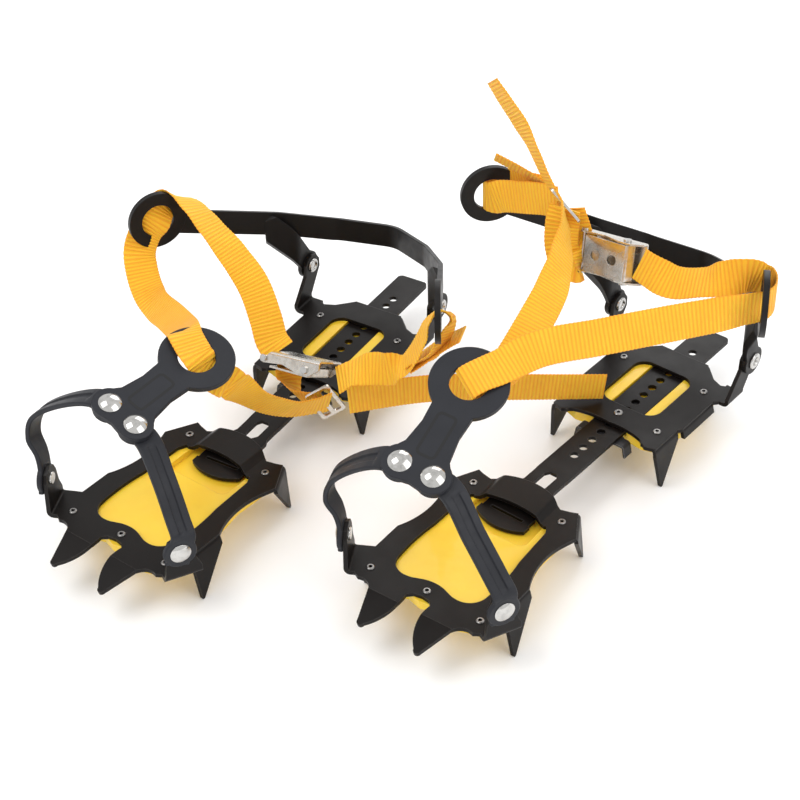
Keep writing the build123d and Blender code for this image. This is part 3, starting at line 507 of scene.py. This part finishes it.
# the short strap: left ring to the slider, and the loop from the slider to the buckle's bar
short_b = [
    ((-60, 118, 156), (0.35, -0.15, 0.9)),
    ((-76, 122, 151), (0.2, -0.1, 0.97)),
    ((-93, 124, 146), (0.0, 0.1, 1.0)),
    ((-101, 119, 142.5), (0, 0, 1)),
    ((-99, 113, 142), (0, 0, 1)),
    ((-93, 111.5, 142.5), (0, 0, 1)),
    ((-84, 111, 147), (0.2, 0.1, 0.96)),
    ((-70, 110, 151.5), (0.3, 0.1, 0.92)),
    ((-55, 109, 156), (0.45, 0.05, 0.85)),
    ((-44, 108, 158), (0.55, 0.0, 0.8)),
]
web("b_short_web", short_b, [(9, "b_heel_strap")], ("b_short_strap", "b_short_strap_tail"))
loop_b = [
    ((-38, 105, 158), (0.62, 0.2, 0.75)),
    ((-38, 103, 147), (0.75, 0.4, 0.5)),
    ((-37, 102, 134), (0.75, 0.5, 0.3)),
    ((-33, 103, 123), (0.7, 0.55, 0.4)),
    ((-27, 106, 122), (0.45, 0.6, 0.65)),
    ((-24.5, 108, 128), (0.2, 0.6, 0.75)),
    ((-26, 108.5, 134), (0.1, 0.5, 0.85)),
    ((-31, 109, 137), (0.3, 0.4, 0.85)),
    ((-33, 109, 144), (0.5, 0.2, 0.8)),
    ((-37, 109, 156), (0.6, 0.1, 0.75)),
]
web("b_loop_web", loop_b, [(9, "b_heel_strap")], ("b_short_strap_loop",))

# ---- webbing of crampon a ---------------------------------------------------------------------
# the long strap: slider, through the toe ring, round the left heel ring, to the buckle
fold_a = direction(RING_A, -0.12, -0.99)
long_a = [
    ((-131, -4, 46), (-0.2, 0.35, -0.9)),
    ((-136, -14, 47), (-0.35, 0.3, -0.88)),
    ((-141, -25, 50), (-0.45, 0.2, -0.86)),
    ((-146, -38, 59), (-0.4, 0.2, -0.88)),
    ((-150, -52, 73), (-0.35, 0.3, -0.9)),
    ((-149, -66, 91), (-0.1, 0.45, -0.88)),
    (in_ring(RING_A, 16.5, 5.0, -8.0), (0.1, -0.75, -0.7)),
    (in_ring(RING_A, 9.5, 1.5, -5.0), direction(RING_A, 0.1, -0.97, -0.2)),
    (in_ring(RING_A, 5.4, 0.0, -2.2), fold_a),
    (in_ring(RING_A, 3.6, 0.0, 1.2), fold_a),
    (in_ring(RING_A, 0.0, 0.0, 3.6), fold_a),
    (in_ring(RING_A, -6.5, 2.2, 4.0), direction(RING_A, -0.34, -0.94)),
    (in_ring(RING_A, -15.5, 6.3, 3.8), direction(RING_A, -0.4, -0.92)),
    ((-186, -63, 112), (-0.3, -0.9, -0.3)),
    ((-203, -49, 100), (-0.45, -0.75, -0.5)),
    ((-225, -35, 90), (-0.5, -0.65, -0.55)),
    ((-245, -25, 84), (-0.5, -0.55, -0.65)),
    ((-262, -15, 84), (-0.6, -0.75, -0.25)),
    ((-272, -8, 90), (-0.75, -0.65, 0.1)),
    ((-277, -3, 99), (-0.8, -0.6, 0.05)),
    ((-275, 2, 111), (-0.75, -0.65, 0.2)),
    ((-270.5, 7, 118.5), (-0.6, -0.5, 0.6)),
    ((-271.5, 14, 124), (-0.5, -0.6, 0.6)),
    ((-269.5, 21, 127.5), (-0.3, -0.75, 0.6)),
    ((-262, 24.5, 129), (-0.1, -0.85, 0.5)),
    ((-250, 22, 127), (0.05, -0.95, 0.3)),
    ((-236, 20, 119), (-0.05, -0.98, 0.15)),
    ((-219, 19, 106), (-0.2, -0.95, -0.1)),
    ((-202, 16, 92), (-0.3, -0.88, -0.35)),
    ((-188, 9, 77), (-0.3, -0.85, -0.4)),
    ((-180, 4, 67), (-0.25, -0.85, -0.45)),
    ((-173, 2, 63), (-0.2, -0.85, -0.5)),
]
web("a_long_web", long_a,
    [(4.0, "a_front"), (6.0, ("a_front", "a_toe_bail")), (12.6, "a_toe_bail")]
    + joint_spans("a", (13.9, 14.2, 15.9, 17.9), CHAIN) + [(24.6, "a_heel_strap")]
    + joint_spans("a", (25.8, 28.5, 28.9), CHAIN[:0:-1]) + [(31, "a_front")],
    ("a_long_strap_middle", "a_long_strap_front", "a_long_strap_back"))

# the short strap: buckle's bar, twisted towards the right ring, round it and back
short_a = [
    ((-130, 4, 58), (-0.3, 0.8, 0.5)),
    ((-122, 9, 64), (-0.5, 0.8, 0.3)),
    ((-111, 13, 69), (-0.4, 0.55, 0.7)),
    ((-100, 15, 72), (-0.2, 0.25, 0.93)),
    ((-91, 16.5, 77), (-0.6, 0.5, -0.05), 17.0),
    ((-84, 18.5, 88), (-0.76, 0.51, -0.3), 17.0),
    ((-79.5, 22, 101), (-0.76, 0.51, -0.4), 16.0),
    ((-76, 24.5, 112), (-0.6, 0.6, -0.5), 14.0),
    ((-71, 28, 118), (-0.4, 0.65, -0.6), 13.0),
    ((-66, 31, 113), (-0.2, 0.66, -0.7), 14.0),
    ((-68, 27, 101), (-0.13, 0.66, -0.74), 16.0),
    ((-74, 22.5, 88), (-0.3, 0.62, -0.7), 17.0),
    ((-86, 19, 78), (-0.45, 0.55, -0.6), 17.0),
]
web("a_short_web", short_a,
    [(0.4, "a_front"), (0.8, ("a_front", "a_bar")), (3.9, ("a_bar", "a_heel")),
     (5.6, ("a_heel", "a_heel_strap")), (12, "a_heel_strap")], ("a_short_strap",))
short_tail_a = [
    ((-86, 20, 77), (0.6, -0.62, 0.4)), ((-80, 25, 84), (0.68, -0.62, 0.35)),
    ((-73, 31, 91), (0.7, -0.62, 0.33)), ((-62, 37, 100), (0.7, -0.6, 0.4)),
]
web("a_short_tail_web", short_tail_a, [(3, "a_heel_strap")], ("a_short_strap_tail",))
loop_a = [
    ((-136, -1, 43), (0.1, 0.35, -0.9)),
    ((-146, -5, 40), (0.1, 0.3, -0.93)),
    ((-158, -3, 40), (0.2, 0.5, -0.83)),
    ((-166, 2, 45), (0.3, 0.6, -0.7)),
    ((-165, 4, 53), (0.35, 0.65, -0.65)),
    ((-156, 3, 57), (0.35, 0.7, -0.6)),
]
web("a_loop_web", loop_a, [(5, "a_front")], ())

# ---- free tails: the long one is a cord, on the smooth line of its route --------------------
TAIL_A = [(-122, 3, 47), (-104, 22, 48.5), (-85, 41, 48.5), (-58, 64, 46), (-31, 87, 43),
          (-7, 108, 40.5)]


def nurbs_rows(points, across, across_end):
    """Rows for swept() along the NURBS line of a cord's route. The width direction turns from
    across to across_end on the way."""
    curve = bpy.data.curves.new("route", "CURVE")
    curve.dimensions = "3D"
    curve.resolution_u = 40
    spline = curve.splines.new("NURBS")
    spline.points.add(len(points) - 1)
    for point, place in zip(spline.points, points):
        point.co = (*place, 1)
    spline.order_u = 3
    spline.use_endpoint_u = True
    holder = bpy.data.objects.new("route", curve)
    line = bpy.data.meshes.new_from_object(holder)
    last = len(line.vertices) - 1
    stations = [(v.co.copy(), across.lerp(across_end, (i / last) ** 2))
                for i, v in enumerate(line.vertices)]
    bpy.data.objects.remove(holder)
    bpy.data.meshes.remove(line)
    return smooth_route(stations[::3] + stations[-1:], RIB_PITCH / 2)


rows = nurbs_rows(TAIL_A, Vector((0.0, 0.07, 1.0)), Vector((0.08, -0.05, 1.0)))
tail = swept("a_long_tail_web", rows, web_profile, "webbing", ribs=True)
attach(tail, "a_front")
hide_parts("a_long_strap_tail")
tail_b = [
    ((-43, 106, 161), (0.6, -0.55, 0.45)), ((-52, 106, 174), (0.6, -0.55, 0.45)),
    ((-61, 107, 188), (0.5, -0.4, 0.3)), ((-71, 107.5, 202), (0.35, -0.2, 0.25)),
    ((-81, 107.5, 213), (0.35, -0.3, 0.5)), ((-90, 107.5, 223), (0.5, -0.45, 0.6)),
]
web("b_long_tail_web", tail_b, [(5, "b_heel_strap")], ("b_long_strap_tail",))
short_tail_b = [
    ((-46, 112, 157), (0.4, -0.6, 0.7)), ((-57, 116, 160), (0.35, -0.6, 0.7)),
    ((-72, 113, 167), (0.3, -0.62, 0.7)), ((-88, 108, 174), (0.3, -0.62, 0.7)),
]
web("b_short_tail_web", short_tail_b, [(3, "b_heel_strap")], ())


# ---- toe bails --------------------------------------------------------------------------------
def ring_matrix(snaps, stem_end, roll):
    """The toe ring's own frame: origin between the snaps, Y along the stem, rolled by degrees."""
    start, end = Vector(snaps), Vector(stem_end)
    stem = (end - start).normalized()
    level = Vector((math.cos(math.radians(roll)), 0, -math.sin(math.radians(roll))))
    across = (level - stem * level.dot(stem)).normalized()
    normal = across.cross(stem)
    turned = Matrix((across, stem, normal)).transposed().to_4x4()
    return Matrix.Translation(start) @ turned


BAILS = {"a": ((0, -73.6, 105.3), (2, -16.3, 109.5), 18),
         "b": ((-5, -87.4, 111.6), (-9, -34.5, 131.2), 13)}
SNAP_HALF = 9.75  # half the spacing of the snap rivets
EAR = Vector((50.25, -91.4, 47.9))  # a toe pivot's place, on the right
HEEL_EAR = Vector((45.6, 170.4, 52.4))  # a heel pivot's place, on the right
EAR_TURN = math.radians(27.0)  # the front ears face this much towards the toe
SHEET, RUBBER = 2.5, 3.0  # thickness of the steel and of an arm
CLEARANCE = 0.1  # between an ear and its arm
ARM_UNDER = -3.55  # height of an arm's middle under the ring
SNAP_FOOT = -5.05  # height of a snap rivet's foot under the ring


def ear_normal(side):
    """The way a front ear faces."""
    return Vector((side * math.cos(EAR_TURN), -math.sin(EAR_TURN), 0))


def ear_point(side, out):
    return Vector((side * EAR.x, EAR.y, EAR.z)) + ear_normal(side) * out


def arm_profile(depth):
    """Rounded strap section with a moulded channel of the given depth along its outer face,
    which is below."""
    def profile(row, _):
        half, t = row[5] / 2, RUBBER / 2 - 0.05
        d = depth * row[6]
        upper = [(-half, 0.9), (-half + 0.55, t), (-2.5, t), (-2.1, t - d), (2.1, t - d), (2.5, t),
                 (half - 0.55, t), (half, 0.9)]
        lower = [(half, -0.9), (half - 0.55, -t), (-half + 0.55, -t), (-half, -0.9)]
        return [(u, -w) for u, w in upper + lower]
    return profile


def disc(radius, thick, round_off=0.6):
    h = thick / 2
    return [(0.0, -h), (radius - round_off, -h), (radius, -h + round_off), (radius, h - round_off),
            (radius - round_off, h), (0.0, h)]


def toe_arm(name, side):
    ring = ring_matrix(*BAILS[name])
    snap, outer, inner = (ring @ Vector((side * x, 0, ARM_UNDER))
                          for x in (SNAP_HALF, SNAP_HALF + 9, SNAP_HALF - 4))
    facing_way = ear_normal(side)
    base = ear_point(side, SHEET / 2 + CLEARANCE + RUBBER / 2)
    lean = Vector((0, snap.y - base.y, snap.z - base.z)).normalized()
    lean = (lean - facing_way * lean.dot(facing_way)).normalized()
    across = facing_way.cross(lean) * -side
    stem = (ring.to_3x3() @ Vector((0, 1, 0))).normalized()
    bulge = ((2, 14), (8, 23), (3, 38)) if side < 0 else ((-0.3, 10), (-6.5, 18), (-23, 38))
    stations = [(base - lean * 8, across, 14.0), (base + lean * 7, across, 14.0)]
    for i, (out, up) in enumerate(bulge):
        stations.append((base + Vector((side * out, 0, 0)) + lean * up,
                         across * (1 - i / 4) + stem * (i / 4), 14.0))
    stations += [(outer, stem, 14.5), (inner, stem, 15.0)]
    if side < 0:
        stations = [(p, -w, width) for p, w, width in stations]
    rows = smooth_route(stations, 1.0)
    total = rows[-1][1]
    for row in rows:
        near, far = row[1] - 19.0, total - 17.0 - row[1]
        row.append(max(0.0, min(1.0, near / 2.0, far / 2.0)))
    for row in rows:
        row[2] = FRONT[name] @ row[2]
        row[3], row[4] = FRONT[name].to_3x3() @ row[3], FRONT[name].to_3x3() @ row[4]
    side_word = "left" if side < 0 else "right"
    arm = swept(f"{name}_arm_{side_word}", rows, arm_profile(0.9), "toe_rubber")
    # the rubber twists between the ear, which it lies flat on, and the swinging ring
    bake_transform(arm)
    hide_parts(f"{name}_toe_arm_{side_word}")
    bosses = (("ear", 9.5, facing(base, facing_way), "front"),
              ("snap", 9.4, ring @ Matrix.Translation((side * SNAP_HALF, 0, ARM_UNDER)),
               "toe_bail"))
    for word, radius, place, body in bosses:
        verts, faces = [], []
        lathe_points(disc(radius, 3.05), FRONT[name] @ place, verts, faces)
        boss = build(f"{name}_{word}_boss_{side_word}", verts, faces, "toe_rubber")
        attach(boss, f"{name}_{body}")


def flat_line(name, matrix, outline, width, body, slot, look):
    """A thin closed line drawn on a flat face: painted shade standing in for the bottom of a
    moulded groove.
    """
    verts, faces, n = [], [], len(outline)
    for i, (x, y) in enumerate(outline):
        before, after = Vector(outline[i - 1]), Vector(outline[(i + 1) % n])
        tangent = (after - before).normalized()
        out = Vector((tangent.y, -tangent.x))
        for s in (-0.5, 0.5):
            for h in (0.0, 0.05):
                verts.append(matrix @ Vector((x + out.x * s * width, y + out.y * s * width, h)))
    for i in range(n):
        a, b = 4 * i, 4 * ((i + 1) % n)
        for p, q in ((0, 1), (1, 3), (3, 2), (2, 0)):
            faces.append((a + p, a + q, b + q, b + p))
    piece = build(name, verts, faces, slot, look=look)
    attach(piece, body)


def rounded_box(half, low, high, radius):
    """Outline of a box with round corners, symmetric across x."""
    points = []
    for cx, cy, start in ((half - radius, high - radius, 0), (radius - half, high - radius, 90),
                          (radius - half, low + radius, 180), (half - radius, low + radius, 270)):
        for k in range(7):
            angle = math.radians(start + 15 * k)
            points.append((cx + radius * math.cos(angle), cy + radius * math.sin(angle)))
    return points


def dome(radius, height, length, shank, foot):
    """Profile of a rivet: foot below 0, shank to length, spherical dome above."""
    ball = (radius**2 + height**2) / (2 * height)
    top = [(0.0, -0.9), (foot - 0.3, -0.9), (foot, -0.5), (foot, 0.0), (shank, 0.0),
           (shank, length), (radius - 0.15, length), (radius, length + 0.2)]
    reach = math.asin(radius / ball)
    for k in range(1, 13):
        angle = reach * (1 - k / 12)
        top.append((ball * math.sin(angle), length + 0.2 + height - ball * (1 - math.cos(angle))))
    return top


def tube(radius, height, length, shank, foot, bore):
    """Profile of a tubular rivet with a rolled ring at each end: foot below 0, head above."""
    low, top, floor = -1.2, length + height, 0.3
    return [(0.0, -floor), (bore - 0.2, -floor), (bore, low + 0.4), (bore + 0.5, low),
            (foot - 0.7, low), (foot - 0.2, low + 0.35), (foot, -0.3), (foot, 0.0), (shank, 0.0),
            (shank, length), (radius - 0.15, length), (radius, length + 0.3),
            (radius - 0.25, top - 0.35), (radius - 0.8, top), (bore + 0.5, top),
            (bore, top - 0.4), (bore - 0.2, length + floor), (0.0, length + floor)]


for n in "ab":
    for side in (-1, 1):
        toe_arm(n, side)
    ring = FRONT[n] @ ring_matrix(*BAILS[n])
    groove_shade = rounded_box(half=5.2, low=8.5, high=35.0, radius=2.5)
    # the ring's groove is not cut; a dark line of painted shade is drawn on its face
    flat_line(f"{n}_ring_groove", ring @ Matrix.Translation((0, 0, 1.75)), groove_shade, 1.7,
              f"{n}_toe_bail", "toe_rubber", "groove_shade")
    snaps = [ring @ Matrix.Translation((side * SNAP_HALF, 0, SNAP_FOOT)) for side in (-1, 1)]
    lathed(f"{n}_snaps", dome(radius=6.5, height=2.5, length=6.8, shank=2.5, foot=4.0), snaps,
           "nickel", f"{n}_toe_bail", (f"{n}_snap_rivets",))
    ears = [FRONT[n] @ facing(ear_point(side, -SHEET / 2), ear_normal(side)) for side in (-1, 1)]
    lathed(f"{n}_toe_ear_rivets", dome(radius=6.0, height=1.8, length=5.7, shank=2.5, foot=3.6),
           ears, "nickel", f"{n}_front", (f"{n}_toe_pivot_rivets",))
    ears = [HEEL[n] @ facing(Vector((side * HEEL_EAR.x, HEEL_EAR.y, HEEL_EAR.z)), (side, 0, 0))
            for side in (-1, 1)]
    lathed(f"{n}_heel_ear_rivets",
           tube(radius=5.2, height=1.5, length=5.7, shank=2.5, foot=4.7, bore=2.7),
           ears, "nickel", f"{n}_heel", (f"{n}_heel_pivot_rivets",))

# ---- buckle springs ---------------------------------------------------------------------------
# each buckle: its middle, the directions of its length and width, and the body it rides on
BUCKLES = {"a": ((-156, 3, 60), (36, 3, 5), (0.35, -0.75, 0.55), "a_front"),
           "b": ((-6, 107, 135), (42, -2, 5), (-0.1, 0.3, 0.95), "b_heel_strap")}
COIL_TURNS, COIL_STEPS, COIL_RADIUS, COIL_WIDTH = 4, 12, 2.0, 7.2
COIL_MIDDLE = (10, 0, 2.2)
WIRE = 0.4  # radius of the spring's wire

for n, (centre, length_way, width_way, body) in BUCKLES.items():
    along = Vector(length_way).normalized()
    across = (Vector(width_way) - along * along.dot(Vector(width_way))).normalized()
    turned = Matrix((along, across, along.cross(across))).transposed().to_4x4()
    buckle = Matrix.Translation(centre) @ turned
    wide = turned.to_3x3() @ Vector((0, 1, 0))
    stations = []
    count = COIL_TURNS * COIL_STEPS
    for k in range(count + 1):
        angle = 2 * math.pi * k / COIL_STEPS
        place = Vector((COIL_MIDDLE[0] + COIL_RADIUS * math.cos(angle),
                        -COIL_WIDTH / 2 + COIL_WIDTH * k / count,
                        COIL_MIDDLE[2] + COIL_RADIUS * math.sin(angle)))
        stations.append((buckle @ place, wide, 2 * WIRE))
    tip = Vector((1.5, COIL_WIDTH / 2, 3.6))
    stations.append((buckle @ tip, wide, 2 * WIRE))
    rows = smooth_route(stations, 0.35)
    circle = [(WIRE * math.cos(math.pi * j / 4), WIRE * math.sin(math.pi * j / 4))
              for j in range(8)]
    wire = swept(f"{n}_spring_coil", rows, lambda row, rib: circle, "bright_steel")
    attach(wire, body)
    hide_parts(f"{n}_buckle_spring")
